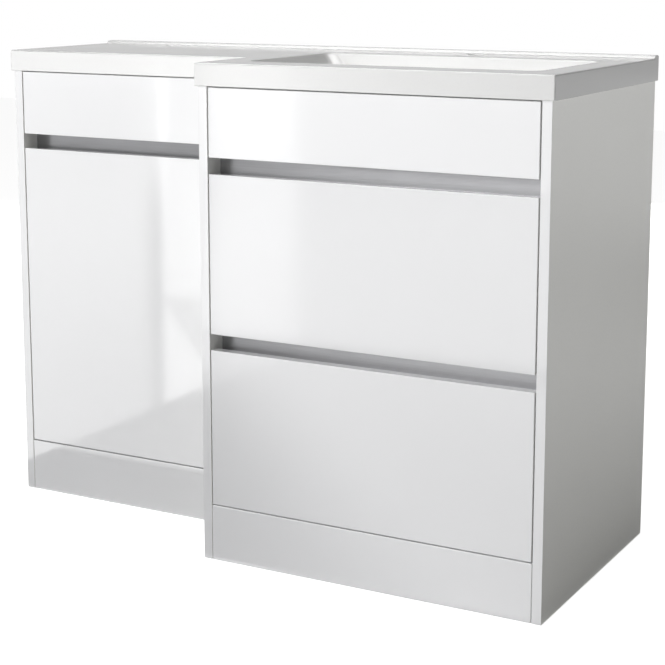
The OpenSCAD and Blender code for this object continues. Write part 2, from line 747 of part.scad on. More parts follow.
// Screws through the inner front into the drawer front
module front_screws(z0, h, head) for (p = front_screw_points(z0, h)) {
    rod_y([p[0], box_y0 + box_t, p[1]], -1, screw_r, box_t + box_grip);
    if (head) rod_y([p[0], box_y0 + box_t, p[1]], 1, head_r, head_h);
}

// Screws through the box sides into the ends of the inner front and the back
module corner_screws(z0, h) for (p = corner_points(z0, h)) for (s = [[box_x0, 1], [box_x1, -1]]) {
    rod_x([s[0], p[0], p[1]], s[1], head_r, head_h);
    rod_x([s[0], p[0], p[1]], s[1], screw_r, box_t + corner_grip);
}

module side_screws(z0) for (s = [[box_x0, 1], [box_x1, -1]]) for (y = run_screw_ys)
    rod_x([s[0], y, z0 + runner_lift], s[1], screw_r, box_grip);

module drawer_front(z0, z1, box_z, h) difference() {
    block([van_l + reveal, y_vanity, z0], [van_r - reveal, box_y0, z1]);
    front_screws(box_z, h, false);
}

module bottom_shape(z0) block([box_x0 + box_t - groove, box_y0 + box_t - groove, z0 + bottom_raise],
    [box_x1 - box_t + groove, box_y1 - box_t + groove, z0 + bottom_raise + bottom_t]);

module drawer_side(x0, z0, h) difference() {
    block([x0, box_y0, z0], [x0 + box_t, box_y1, z0 + h]);
    bottom_shape(z0);
    corner_screws(z0, h);
    side_screws(z0);
}

module drawer_cross(y0, z0, h) difference() {
    block([box_x0 + box_t, y0, z0], [box_x1 - box_t, y0 + box_t, z0 + h]);
    bottom_shape(z0);
    corner_screws(z0, h);
    front_screws(z0, h, false);
}

module drawer_screws(z0, h) {
    front_screws(z0, h, true);
    corner_screws(z0, h);
    side_screws(z0);
    for (s = run_sides) for (y = run_screw_ys)
        rod_x([s[0] + s[1] * (runner_t - steel), y, z0 + runner_lift], s[1], run_head_r, steel);
}

// The space for the waste pipe, with its boards when wall is their thickness
module trap_space(z0, h, wall) block([bowl_x - trap_w / 2 - wall, trap_y0 - wall, z0 - eps],
    [bowl_x + trap_w / 2 + wall, box_y1 + eps, z0 + h + eps]);

module upper_drawer_front() color("white") drawer_front(up_z0, up_z1, up_box_z, upper_box_h);
module upper_drawer_side_left() color("lightgray") drawer_side(box_x0, up_box_z, upper_box_h);
module upper_drawer_side_right() color("lightgray") drawer_side(box_x1 - box_t, up_box_z, upper_box_h);
module upper_drawer_inner_front() color("lightgray") drawer_cross(box_y0, up_box_z, upper_box_h);
module upper_drawer_back() color("lightgray") difference() {
    drawer_cross(box_y1 - box_t, up_box_z, upper_box_h);
    trap_space(up_box_z, upper_box_h, box_t);
}
module upper_drawer_bottom() color("lightgray") difference() {
    bottom_shape(up_box_z);
    trap_space(up_box_z, upper_box_h, 0);
}
module upper_drawer_trap_surround() color("lightgray") {
    z0 = up_box_z + bottom_raise + bottom_t;
    z1 = up_box_z + upper_box_h;
    for (x = [bowl_x - trap_w / 2 - box_t, bowl_x + trap_w / 2])
        block([x, trap_y0 - box_t, z0], [x + box_t, box_y1, z1]);
    block([bowl_x - trap_w / 2, trap_y0 - box_t, z0], [bowl_x + trap_w / 2, trap_y0, z1]);
}
module upper_drawer_runners() color("silver") drawer_runner(up_runner_z);
module upper_drawer_screws() color("darkgray") drawer_screws(up_box_z, upper_box_h);

module lower_drawer_front() color("white") drawer_front(low_z0, low_z1, low_box_z, lower_box_h);
module lower_drawer_side_left() color("lightgray") drawer_side(box_x0, low_box_z, lower_box_h);
module lower_drawer_side_right() color("lightgray") drawer_side(box_x1 - box_t, low_box_z, lower_box_h);
module lower_drawer_inner_front() color("lightgray") drawer_cross(box_y0, low_box_z, lower_box_h);
module lower_drawer_back() color("lightgray") drawer_cross(box_y1 - box_t, low_box_z, lower_box_h);
module lower_drawer_bottom() color("lightgray") bottom_shape(low_box_z);
module lower_drawer_runners() color("silver") drawer_runner(low_runner_z);
module lower_drawer_screws() color("darkgray") drawer_screws(low_box_z, lower_box_h);

basin_top();
vanity_side_left();
vanity_side_right();
vanity_base();
vanity_back_rail_top();
vanity_back_rail_low();
vanity_front_rail();
vanity_fascia();
vanity_plinth();
vanity_handle_rail_upper();
vanity_handle_rail_lower();
wc_side_left();
wc_side_right();
wc_back_rail_top();
wc_back_rail_mid();
wc_front_rail();
wc_foot_rail();
wc_battens();
wc_plinth();
wc_handle_rail();
cam_locks();
cam_bolts();
dowels();
corner_blocks();
carcass_screws();
connector_bolts();
connector_sleeves();
wall_brackets();
stud_sockets();
upper_cabinet_runners();
lower_cabinet_runners();
cabinet_runner_screws();
upper_drawer_front();
upper_drawer_side_left();
upper_drawer_side_right();
upper_drawer_inner_front();
upper_drawer_back();
upper_drawer_bottom();
upper_drawer_trap_surround();
upper_drawer_runners();
upper_drawer_screws();
lower_drawer_front();
lower_drawer_side_left();
lower_drawer_side_right();
lower_drawer_inner_front();
lower_drawer_back();
lower_drawer_bottom();
lower_drawer_runners();
lower_drawer_screws();
upper_middle_runners();
upper_outer_ball_cages();
upper_inner_ball_cages();
lower_middle_runners();
lower_outer_ball_cages();
lower_inner_ball_cages();
wc_fascia();
wc_fascia_studs();
wc_front_panel();
wc_panel_studs();
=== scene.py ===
"""Looks of a toilet and basin combination unit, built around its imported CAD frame.

The cast basin top and every board, front and rail that shows are finished meshes of their own,
with the eased edges of the real parts. The fittings keep their CAD shapes and get their finishes.
"""
import json
import math

import bmesh
import bpy
from mathutils import Matrix, Vector
from mathutils.geometry import delaunay_2d_cdt

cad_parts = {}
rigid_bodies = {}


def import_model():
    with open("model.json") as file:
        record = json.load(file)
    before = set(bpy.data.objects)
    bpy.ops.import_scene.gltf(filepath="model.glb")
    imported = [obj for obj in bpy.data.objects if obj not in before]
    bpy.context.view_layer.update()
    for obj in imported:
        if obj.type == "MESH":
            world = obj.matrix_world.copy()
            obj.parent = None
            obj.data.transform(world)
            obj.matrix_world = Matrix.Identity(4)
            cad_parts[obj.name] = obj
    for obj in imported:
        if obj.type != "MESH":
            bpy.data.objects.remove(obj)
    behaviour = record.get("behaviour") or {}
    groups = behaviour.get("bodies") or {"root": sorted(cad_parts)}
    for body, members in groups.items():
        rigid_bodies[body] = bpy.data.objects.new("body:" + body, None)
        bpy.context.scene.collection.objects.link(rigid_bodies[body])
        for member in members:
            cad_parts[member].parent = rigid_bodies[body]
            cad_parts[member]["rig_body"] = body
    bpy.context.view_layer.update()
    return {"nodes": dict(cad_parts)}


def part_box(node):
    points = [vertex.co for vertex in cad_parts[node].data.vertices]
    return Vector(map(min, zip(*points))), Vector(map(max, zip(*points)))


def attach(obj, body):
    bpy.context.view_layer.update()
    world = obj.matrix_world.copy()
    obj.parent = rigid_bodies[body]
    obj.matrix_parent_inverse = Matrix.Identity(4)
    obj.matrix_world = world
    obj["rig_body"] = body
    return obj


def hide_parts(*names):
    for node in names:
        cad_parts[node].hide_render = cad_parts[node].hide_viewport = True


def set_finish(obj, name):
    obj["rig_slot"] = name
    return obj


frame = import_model()
nodes = frame["nodes"]
scene = bpy.context.scene
scene.view_settings.view_transform = "Standard"
MM = 0.001                                    # metres in a millimetre
WELD, SHELL_WELD = 1e-5, 2e-6                 # metres between corners that are one: CAD mesh, new shell


# ---- Camera ----

SENSOR, FOCAL, SHIFT = 36.0, 89.533, -0.13    # millimetres, and the shift as a share of the frame
CAMERA_AT = (1.4043, -2.4356, 0.9806)         # metres
CAMERA_TILT, CAMERA_TURN = 80.237, 28.759     # degrees up from straight down, and round the vertical

camera_data = bpy.data.cameras.new("camera")
camera_data.sensor_width = SENSOR
camera_data.lens = FOCAL
camera_data.shift_y = SHIFT
camera = bpy.data.objects.new("camera", camera_data)
camera.location = CAMERA_AT
camera.rotation_euler = (math.radians(CAMERA_TILT), 0, math.radians(CAMERA_TURN))
scene.collection.objects.link(camera)
scene.camera = camera


# ---- Helpers ----

def body_of(node):
    return nodes[node]["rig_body"]


def add_piece(name, mesh, body, slot, *replaced):
    """Links a finished mesh as a piece that rides on a body, in place of CAD nodes."""
    piece = bpy.data.objects.new(name, mesh)
    scene.collection.objects.link(piece)
    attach(piece, body)
    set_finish(piece, slot)
    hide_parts(*replaced)
    return piece


def smooth(mesh, angle):
    """Smooth shading, but for the edges that fold by more than that many degrees."""
    for face in mesh.polygons:
        face.use_smooth = True
    mesh.set_sharp_from_angle(angle=math.radians(angle))


LARGE_FACES_RULE = 100                        # weight at which the large faces outweigh the small ones


def weighted(piece):
    """Face-area weighted normals, so that an eased edge doesn't shade the flats beside it."""
    modifier = piece.modifiers.new("weighted", "WEIGHTED_NORMAL")
    modifier.keep_sharp = True
    modifier.weight = LARGE_FACES_RULE
    modifier.mode = "FACE_AREA"
    depsgraph = bpy.context.evaluated_depsgraph_get()
    done = bpy.data.meshes.new_from_object(piece.evaluated_get(depsgraph))
    piece.modifiers.clear()
    old = piece.data
    done.name = piece.name
    piece.data = done
    bpy.data.meshes.remove(old)
    return piece


# ---- Cast basin top ----

# Millimetres: X to the right, Y to the wall, Z up.
TOP, UNDER, RAISED = 823.0, 786.0, 828.0      # deck, underside of the slab's edge, upstand
LEFT, RIGHT, BACK = -555.0, 555.0, 235.0
WC_FRONT, BASIN_FRONT, SPLIT = -78.0, -235.0, -55.0
COVE_Y, COVE_R, LIP_R = 212.0, 5.0, 1.0
BOWL_X, BOWL_FRONT, BOWL_BACK, BOWL_HALF = 250.0, -165.0, 112.0, 252.0
RIM_R, FLOOR_R, FLOOR_Z = 22.0, 26.0, 708.0
LEAN_SIDE, LEAN_FRONT, LEAN_BACK = 75.0, 34.0, 12.0             # how far in the walls run on their way down
CORNER, BACK_CORNER = 3.0, 1.5                # plan corners of the slab
LOW_EASE, HIGH_EASE, RIM_EASE = 1.0, 2.5, 4.0
TAP_EASE, WASTE_EASE, OVERFLOW_EASE = 1.5, 3.0, 1.5
TAP, TAP_R = (250.0, 183.0), 17.5
WASTE, WASTE_R = (250.0, 12.0), 22.5
OVERFLOW, OVERFLOW_R = (250.0, 775.0), 11.0
POCKET_Z, BOSS_Z = 811.0, 691.0
POCKETS = ((-34.0, -196.0, 534.0, 219.0), (-534.0, -39.0, -66.0, 219.0))
COVE_TURNS, LIP_TURNS = range(0, 91, 15), range(30, 91, 30)     # degrees
CORNER_STEPS, BACK_CORNER_STEPS = 6, 4
LOW_STEPS, HIGH_STEPS, BORE_STEPS = 3, 6, 4
BOWL_STEPS, RIM_STEPS, WALL_STEPS, FLOOR_STEPS = 16, 6, 5, 10
ROUND_STEPS, OVERFLOW_STEPS = 64, 48
WALL_TOP, WALL_END = RIM_STEPS, RIM_STEPS + WALL_STEPS - 1      # levels between which a wall is straight
TOP_SHARP, BOARD_SHARP = 34, 40               # degrees above which an edge stays sharp
WHOLE_HULL, SAME_POINT = 0, 1e-5              # kind of fill, and its tolerance


class Shell:
    """Points in millimetres and the faces between them."""

    def __init__(self):
        self.points, self.faces = [], []

    def ring(self, points):
        first = len(self.points)
        self.points += points
        return list(range(first, len(self.points)))

    def bridge(self, a, b, skip=()):
        for i in range(len(a)):
            if i not in skip:
                j = (i + 1) % len(a)
                self.faces.append((a[i], a[j], b[j], b[i]))

    def loft(self, rings):
        for a, b in zip(rings, rings[1:]):
            self.bridge(a, b)

    def fill(self, rings, axes=(0, 1), flip=False):
        """Fills the flat region inside the first ring and outside the others."""
        u, v = axes
        loops = [[Vector((self.points[i][u], self.points[i][v])) for i in ring] for ring in rings]
        ids, edges = [], []
        for ring in rings:
            start = len(ids)
            ids += ring
            edges += [(start + i, start + (i + 1) % len(ring)) for i in range(len(ring))]
        flat = [p for loop in loops for p in loop]
        _, _, triangles, origin, _, _ = delaunay_2d_cdt(flat, edges, [], WHOLE_HULL, SAME_POINT)
        for triangle in triangles:
            corners = [origin[i][0] for i in triangle]
            centre = sum((flat[i] for i in corners), Vector((0, 0))) / 3
            if sum(encloses(loop, centre) for loop in loops) == 1:
                face = tuple(ids[i] for i in corners)
                self.faces.append(tuple(reversed(face)) if flip else face)


def encloses(loop, p):
    """Whether a closed flat loop goes round a point."""
    odd = False
    for a, b in zip(loop, loop[1:] + loop[:1]):
        if (a.y > p.y) != (b.y > p.y) and p.x < a.x + (b.x - a.x) * (p.y - a.y) / (b.y - a.y):
            odd = not odd
    return odd


def arc(cx, cy, r, start, end, steps, inward=False):
    """Points of a plan corner with their outward directions."""
    made = []
    for i in range(steps + 1):
        a = math.radians(start + (end - start) * i / steps)
        side = -1 if inward else 1
        made.append((cx + r * math.cos(a), cy + r * math.sin(a), side * math.cos(a), side * math.sin(a)))
    return made


def quarter(steps):
    """Angles from 0 to 90 degrees."""
    return [math.radians(90 * k / steps) for k in range(steps + 1)]


def top_height(y):
    """Height of the top's surface: level, then up the cove and over the lip at the back."""
    if y <= COVE_Y:
        return TOP
    if y < COVE_Y + COVE_R:
        rise = math.sqrt(max(COVE_R ** 2 - (y - COVE_Y) ** 2, 0))
        return min(TOP + COVE_R - rise, RAISED - LIP_R)
    lip = min(y - COVE_Y - COVE_R, LIP_R)
    return RAISED - LIP_R + math.sqrt(max(LIP_R ** 2 - (LIP_R - lip) ** 2, 0))


def outline():
    """The slab's edge, anticlockwise: x, y and the outward direction at each point."""
    r, back_r = CORNER, BACK_CORNER
    profile = [COVE_Y + COVE_R * math.sin(math.radians(a)) for a in COVE_TURNS]
    profile += [COVE_Y + COVE_R + LIP_R * (1 - math.cos(math.radians(a))) for a in LIP_TURNS]
    right = [(RIGHT, y, 1, 0) for y in profile]
    left = [(LEFT, y, -1, 0) for y in reversed(profile)]
    return (right
            + arc(RIGHT - back_r, BACK - back_r, back_r, 0, 90, BACK_CORNER_STEPS)
            + arc(LEFT + back_r, BACK - back_r, back_r, 90, 180, BACK_CORNER_STEPS)
            + left
            + arc(LEFT + r, WC_FRONT + r, r, 180, 270, CORNER_STEPS)
            + arc(SPLIT - r, WC_FRONT - r, r, 90, 0, CORNER_STEPS, inward=True)
            + arc(SPLIT + r, BASIN_FRONT + r, r, 180, 270, CORNER_STEPS)
            + arc(RIGHT - r, BASIN_FRONT + r, r, 270, 360, CORNER_STEPS))


def bowl_sections():
    """For each direction round the bowl: its eased rim, wall and floor curve from top to bottom."""
    sections = []
    drop = TOP - FLOOR_Z - FLOOR_R
    for quadrant, (sx, sy) in enumerate(((1, 1), (-1, 1), (-1, -1), (1, -1))):
        rim = Vector((BOWL_X + sx * (BOWL_HALF - RIM_R), BOWL_BACK - RIM_R if sy > 0 else BOWL_FRONT + RIM_R))
        low = Vector((BOWL_X + sx * (BOWL_HALF - LEAN_SIDE - FLOOR_R),
                      BOWL_BACK - LEAN_BACK - FLOOR_R if sy > 0 else BOWL_FRONT + LEAN_FRONT + FLOOR_R))
        for i in range(BOWL_STEPS + 1):
            a = math.radians(90 * quadrant + 90 * i / BOWL_STEPS)
            n = Vector((math.cos(a), math.sin(a)))
            reach = (rim - low).dot(n) + RIM_R
            lean = math.acos(FLOOR_R / math.hypot(reach, drop)) - math.atan2(drop, reach)
            edge = rim + n * RIM_R
            turn = math.pi / 2 - lean
            centre = edge + n * RIM_EASE * math.tan(turn / 2)
            section = []
            for k in range(RIM_STEPS + 1):
                s = turn * k / RIM_STEPS
                p = centre - n * RIM_EASE * math.sin(s)
                section.append((p.x, p.y, TOP - RIM_EASE + RIM_EASE * math.cos(s)))
            start = Vector(section[-1])
            p = low + n * FLOOR_R * math.cos(lean)
            end = Vector((p.x, p.y, FLOOR_Z + FLOOR_R - FLOOR_R * math.sin(lean)))
            section += [tuple(start.lerp(end, k / WALL_STEPS)) for k in range(1, WALL_STEPS)]
            for k in range(FLOOR_STEPS + 1):
                s = lean + (math.pi / 2 - lean) * k / FLOOR_STEPS
                p = low + n * FLOOR_R * math.cos(s)
                section.append((p.x, p.y, FLOOR_Z + FLOOR_R - FLOOR_R * math.sin(s)))
            sections.append(section)
    return sections


def circle(centre, r, z, steps=ROUND_STEPS):
    return [(centre[0] + r * math.cos(2 * math.pi * i / steps),
             centre[1] + r * math.sin(2 * math.pi * i / steps), z) for i in range(steps)]


def eased_bore(shell, centre, r, ease, top, bottom):
    """A bore down from a level surface, with an eased mouth. Returns its outermost ring."""
    rings = [shell.ring(circle(centre, r + ease * (1 - math.sin(a)), top - ease * (1 - math.cos(a))))
             for a in quarter(BORE_STEPS)]
    rings.append(shell.ring(circle(centre, r, bottom)))
    shell.loft(rings)
    return rings[0]


def build_top_shell():
    """The edge, cove, lip, deck and bowl with their bores, down to the slab's underside."""
    shell = Shell()
    edge = outline()

    def edge_ring(inset, rise):
        return shell.ring([(x - nx * inset, y - ny * inset, rise(y)) for x, y, nx, ny in edge])

    def cove_end(side):
        """Places in the edge, from the front, where the cove and the lip run out at that side."""
        last = COVE_Y + COVE_R + LIP_R + 1e-6
        return sorted((i for i, p in enumerate(edge) if p[0] == side and COVE_Y <= p[1] <= last),
                      key=lambda i: edge[i][1])

    rings = [edge_ring(LOW_EASE * (1 - math.cos(a)), lambda y: UNDER + LOW_EASE * (1 - math.sin(a)))
             for a in reversed(quarter(LOW_STEPS))]
    rings += [edge_ring(HIGH_EASE * (1 - math.cos(a)),
                        lambda y: top_height(y) - HIGH_EASE * (1 - math.sin(a)))
              for a in quarter(HIGH_STEPS)]
    shell.loft(rings)
    inner, under = rings[-1], rings[0]

    right, left = cove_end(RIGHT), cove_end(LEFT)
    for (a, b), (c, d) in zip(zip(right, right[1:]), zip(left, left[1:])):
        shell.faces.append((inner[a], inner[b], inner[d], inner[c]))
    shell.faces.append(tuple(inner[right[-1]:left[-1] + 1]))

    sections = bowl_sections()
    levels = [shell.ring([s[k] for s in sections]) for k in range(len(sections[0]))]
    back = BOWL_STEPS                           # the flat of the back wall lies between two corners
    for k, (a, b) in enumerate(zip(levels, levels[1:])):
        shell.bridge(a, b, skip=(back,) if WALL_TOP <= k < WALL_END else ())
    wall_right = [level[back] for level in levels[WALL_TOP:WALL_END + 1]]
    wall_left = [level[back + 1] for level in levels[WALL_TOP:WALL_END + 1]]
    high, low = Vector(shell.points[wall_right[0]]), Vector(shell.points[wall_right[-1]])
    slope = (low.y - high.y) / (low.z - high.z)
    mouth = []
    for a in quarter(BORE_STEPS):
        r, sink = OVERFLOW_R + OVERFLOW_EASE * (1 - math.sin(a)), OVERFLOW_EASE * (1 - math.cos(a))
        mouth.append(shell.ring([(x, high.y + slope * (z - high.z) + sink, z)
                                 for x, z, _ in circle(OVERFLOW, r, 0.0, OVERFLOW_STEPS)]))
    shell.loft(mouth)
    shell.fill([wall_right + list(reversed(wall_left)), mouth[0]], axes=(0, 2))

    waste = eased_bore(shell, WASTE, WASTE_R, WASTE_EASE, FLOOR_Z, BOSS_Z)
    shell.fill([levels[-1], waste])
    tap = eased_bore(shell, TAP, TAP_R, TAP_EASE, TOP, POCKET_Z)
    deck = inner[left[0]:] + inner[:right[0] + 1]
    shell.fill([deck, levels[0], tap])
    holes = [shell.ring([(x0, y0, UNDER), (x1, y0, UNDER), (x1, y1, UNDER), (x0, y1, UNDER)])
             for x0, y0, x1, y1 in POCKETS]
    shell.fill([under] + holes, flip=True)
    return shell


NEAR = 0.1                                    # millimetres within which a face lies on a surface
SQUARE = 0.1                                  # a normal with less than this along an axis is square to it
FACING_DOWN = -0.9
OVER_BOWL = Vector((BOWL_X, -20.0, 900.0))    # the inside of the bowl faces this point


def is_replaced(centre, normal):
    """Whether a face of the CAD top belongs to the surfaces that the finished shell makes again."""
    x, y, z = centre
    if (abs(x) > RIGHT - NEAR or y > BACK - NEAR or y < BASIN_FRONT + NEAR
            or (x < SPLIT + NEAR and y < WC_FRONT + NEAR)):
        return True
    if z > TOP - NEAR or (UNDER - NEAR < z < UNDER + NEAR and normal.z < FACING_DOWN):
        return True
    if math.hypot(x - TAP[0], y - TAP[1]) < TAP_R + NEAR and z > POCKET_Z + NEAR:
        return True
    if math.hypot(x - WASTE[0], y - WASTE[1]) < WASTE_R + NEAR and abs(normal.z) < SQUARE:
        return True
    if math.hypot(x - OVERFLOW[0], z - OVERFLOW[1]) < OVERFLOW_R + NEAR and abs(normal.y) < SQUARE:
        return False
    inside = (abs(x - BOWL_X) < BOWL_HALF + NEAR and BOWL_FRONT - NEAR < y < BOWL_BACK + NEAR
              and z > FLOOR_Z - 2 * NEAR)
    return inside and normal.dot(OVER_BOWL - Vector(centre)) > 0


def cast_top():
    """The finished shell, welded to the hidden rest of the CAD top: pockets, bosses and duct."""
    shell = build_top_shell()
    work = bmesh.new()
    work.from_mesh(nodes["basin_top"].data)
    bmesh.ops.remove_doubles(work, verts=work.verts, dist=WELD)
    bmesh.ops.delete(work, context="FACES", geom=[
        f for f in work.faces if is_replaced(tuple(f.calc_center_median() / MM), f.normal)])
    for f in work.faces:
        f.material_index = 0
    made = [work.verts.new(Vector(p) * MM) for p in shell.points]
    for face in shell.faces:
        work.faces.new([made[i] for i in face])
    bmesh.ops.remove_doubles(work, verts=made, dist=SHELL_WELD)
    bmesh.ops.delete(work, context="VERTS", geom=[v for v in work.verts if not v.link_faces])
    mesh = bpy.data.meshes.new("cast_top")
    work.to_mesh(mesh)
    work.free()
    smooth(mesh, TOP_SHARP)
    return weighted(add_piece("cast_top", mesh, "carcass", "top_gelcoat", "basin_top"))


top = cast_top()


# ---- Boards, fronts and rails ----

BOARD_FACE, BAND_FACE = 0, 1                  # material slots of a side board
FACING_FRONT = -0.3                           # a normal's Y under which a board's face is its front band
ACROSS = "across"                             # map of the directions across a rail
FRONT_EASE, SIDE_EASE, RAIL_EASE = 1.2, 0.8, 0.35
FLAT, FOLD = 0.5, 30                          # degrees: one face under the first, an edge over the second


def eased_copy(node, ease, every_edge, segments):
    """The CAD node's own shape with its outer edges rounded. The CAD mesh itself isn't touched."""
    low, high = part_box(node)
    work = bmesh.new()
    work.from_mesh(nodes[node].data)
    bmesh.ops.remove_doubles(work, verts=work.verts, dist=WELD)
    bmesh.ops.dissolve_limit(work, angle_limit=math.radians(FLAT), verts=work.verts, edges=work.edges)

    def planes(v):
        """The sides of the node's box that a corner lies on."""
        return {(axis, end) for axis in range(3) for end, box in ((0, low), (1, high))
                if abs(v.co[axis] - box[axis]) < 2 * WELD}

    if every_edge:
        edges = [e for e in work.edges
                 if len(e.link_faces) == 2 and e.calc_face_angle(0) > math.radians(FOLD)]
    else:
        edges = [e for e in work.edges if len(planes(e.verts[0]) & planes(e.verts[1])) >= 2]
    bmesh.ops.bevel(work, geom=edges, offset=ease * MM, segments=segments, profile=0.5,
                    affect="EDGES", clamp_overlap=True)
    for f in work.faces:
        f.material_index = 0
    mesh = bpy.data.meshes.new(node + "_finished")
    work.to_mesh(mesh)
    work.free()
    smooth(mesh, BOARD_SHARP)
    return mesh


def finished(node, slot, ease, every_edge=False, segments=3):
    mesh = eased_copy(node, ease, every_edge, segments)
    return weighted(add_piece(node + "_finished", mesh, body_of(node), slot, node))


def brushed(piece):
    """Adds the map that gives the finish of a rail its direction, across the length of the rail."""
    layer = piece.data.uv_layers.new(name=ACROSS)
    for corner, place in zip(piece.data.loops, layer.data):
        x, y, z = piece.data.vertices[corner.vertex_index].co
        place.uv = (y + z, x)
    return piece


gloss_pieces = [finished(n, "gloss_front", FRONT_EASE, segments=4) for n in (
    "vanity_fascia", "upper_drawer_front", "lower_drawer_front", "vanity_plinth",
    "wc_fascia", "wc_front_panel", "wc_plinth")]
side_pieces = [finished(n, "side_board", SIDE_EASE) for n in (
    "vanity_side_left", "vanity_side_right", "wc_side_left", "wc_side_right")]
rail_pieces = [brushed(finished(n, "handle_rail", RAIL_EASE, every_edge=True, segments=2)) for n in (
    "vanity_handle_rail_upper", "vanity_handle_rail_lower", "wc_handle_rail")]


# ---- Materials ----

PATTERN_LOW, PATTERN_HIGH = 0.3, 0.7          # values between which most of a noise or cell pattern lies
MIX_SHARE, MIX_A, MIX_B, MIX_COLOUR = 0, 6, 7, 2                # sockets of a colour mix: its names repeat


class Finish:
    """A node-built material: every pattern is in object space, in metres, so it moves with its piece."""

    def __init__(self, name, **sockets):
        self.material = bpy.data.materials.new(name)
        self.material.use_nodes = True
        self.tree = self.material.node_tree
        self.shader = next(n for n in self.tree.nodes if n.type == "BSDF_PRINCIPLED")
        for socket, value in sockets.items():
            self.shader.inputs[socket.replace("_", " ")].default_value = value
        self.coords = self.add("ShaderNodeTexCoord")
        self.height = None

    def add(self, kind, **inputs):
        node = self.tree.nodes.new(kind)
        for socket, value in inputs.items():
            node.inputs[socket.replace("_", " ")].default_value = value
        return node

    def link(self, a, b):
        self.tree.links.new(a, b)

    def place(self, stretch):
        mapping = self.add("ShaderNodeMapping", Scale=stretch)
        self.link(self.coords.outputs["Object"], mapping.inputs["Vector"])
        return mapping.outputs["Vector"]

    def noise(self, scale, detail, stretch=(1, 1, 1), roughness=0.5, distortion=0.0):
        node = self.add("ShaderNodeTexNoise", Scale=scale, Detail=detail, Roughness=roughness,
                        Distortion=distortion)
        self.link(self.place(stretch), node.inputs["Vector"])
        return node.outputs["Fac"]

    def cells(self, scale, stretch=(1, 1, 1)):
        node = self.add("ShaderNodeTexVoronoi", Scale=scale)
        self.link(self.place(stretch), node.inputs["Vector"])
        return node

    def ramp(self, value, low, high):
        """A number between low and high as the pattern goes from its own low to its high."""
        node = self.add("ShaderNodeMapRange", From_Min=PATTERN_LOW, From_Max=PATTERN_HIGH,
                        To_Min=low, To_Max=high)
        self.link(value, node.inputs["Value"])
        return node.outputs["Result"]

    def mix(self, value, a, b, start=PATTERN_LOW, end=PATTERN_HIGH):
        """A colour between a and b as the pattern goes from start to end."""
        node = self.add("ShaderNodeValToRGB")
        stops = node.color_ramp.elements
        stops[0].position, stops[1].position = start, end
        stops[0].color, stops[1].color = (*a, 1), (*b, 1)
        self.link(value, node.inputs["Fac"])
        return node.outputs["Color"]

    def blend(self, share, a, b):
        """The colours a and b in one, with that share of b."""
        node = self.add("ShaderNodeMix")
        node.data_type = "RGBA"
        node.inputs[MIX_SHARE].default_value = share
        self.link(a, node.inputs[MIX_A])
        self.link(b, node.inputs[MIX_B])
        return node.outputs[MIX_COLOUR]

    def colour(self, output):
        self.link(output, self.shader.inputs["Base Color"])

    def rough(self, output):
        self.link(output, self.shader.inputs["Roughness"])

    def bump(self, output, depth, strength):
        """Adds a relief of that depth in metres on top of the ones before it."""
        node = self.add("ShaderNodeBump", Strength=strength, Distance=depth)
        self.link(output, node.inputs["Height"])
        if self.height is not None:
            self.link(self.height, node.inputs["Normal"])
        self.height = node.outputs["Normal"]
        self.link(self.height, self.shader.inputs["Normal"])


def tone(colour, factor):
    """A lighter or darker shade of a colour."""
    return tuple(min(c * factor, 1.0) for c in colour)


def gelcoat():
    """Cast white gel coat: hardly clouded, with a few fine specks."""
    m = Finish("top_gelcoat_finish", Metallic=0.0, IOR=1.5,
               Coat_Weight=0.3, Coat_Roughness=0.06, Coat_IOR=1.5)
    base = (0.805, 0.805, 0.797)
    cloud = m.mix(m.noise(5.0, 4.0), tone(base, 0.985), tone(base, 1.01))
    speck = m.mix(m.noise(260.0, 2.0), tone(base, 0.975), base, 0.36, 0.5)
    m.colour(m.blend(0.35, cloud, speck))
    m.rough(m.ramp(m.noise(3.0, 2.0), 0.15, 0.175))
    m.bump(m.noise(7.0, 1.0), 0.00003, 0.3)
    return m.material


def gloss_wrap(name="gloss_front_finish"):
    """White high-gloss lacquer, slightly wavy, so that its mirror images aren't quite straight."""
    m = Finish(name, Metallic=0.0, IOR=1.5, Coat_Weight=1.0, Coat_Roughness=0.05, Coat_IOR=1.55)
    base = (0.855, 0.857, 0.868)
    broad = m.mix(m.noise(3.2, 3.0), tone(base, 0.99), tone(base, 1.008))
    fine = m.mix(m.noise(900.0, 1.0), tone(base, 0.985), tone(base, 1.01))
    m.colour(m.blend(0.3, broad, fine))
    m.rough(m.ramp(m.noise(24.0, 4.0), 0.08, 0.12))
    m.bump(m.noise(6.5, 1.0), 0.0003, 0.3)
    m.bump(m.noise(300.0, 2.0), 0.00003, 0.35)
    return m.material


def satin_laminate():
    """White side board with a fine satin pearl that runs a little upright."""
    m = Finish("side_board_finish", Metallic=0.0, IOR=1.48, Coat_Weight=0.15, Coat_Roughness=0.25)
    base = (0.80, 0.80, 0.762)
    broad = m.mix(m.noise(4.0, 3.0), tone(base, 0.98), tone(base, 1.01))
    grain = m.mix(m.noise(520.0, 3.0, stretch=(1, 1, 0.45)), tone(base, 0.96), tone(base, 1.015))
    m.colour(m.blend(0.5, broad, grain))
    m.rough(m.ramp(m.noise(180.0, 3.0), 0.34, 0.46))
    m.bump(m.cells(780.0, stretch=(1, 1, 0.7)).outputs["Distance"], 0.00004, 0.4)
    m.bump(m.noise(11.0, 1.0), 0.0002, 0.2)
    return m.material


def matt_laminate():
    """White inner board with the pearl structure of plain laminate."""
    m = Finish("inner_board_finish", Metallic=0.0, IOR=1.46)
    base = (0.79, 0.79, 0.775)
    broad = m.mix(m.noise(5.0, 3.0), tone(base, 0.97), tone(base, 1.01))
    pearl = m.mix(m.cells(650.0).outputs["Distance"], tone(base, 0.94), tone(base, 1.02), 0.1, 0.6)
    m.colour(m.blend(0.5, broad, pearl))
    m.rough(m.ramp(m.noise(140.0, 3.0), 0.46, 0.6))
    m.bump(m.cells(650.0).outputs["Distance"], 0.00007, 0.5)
    return m.material


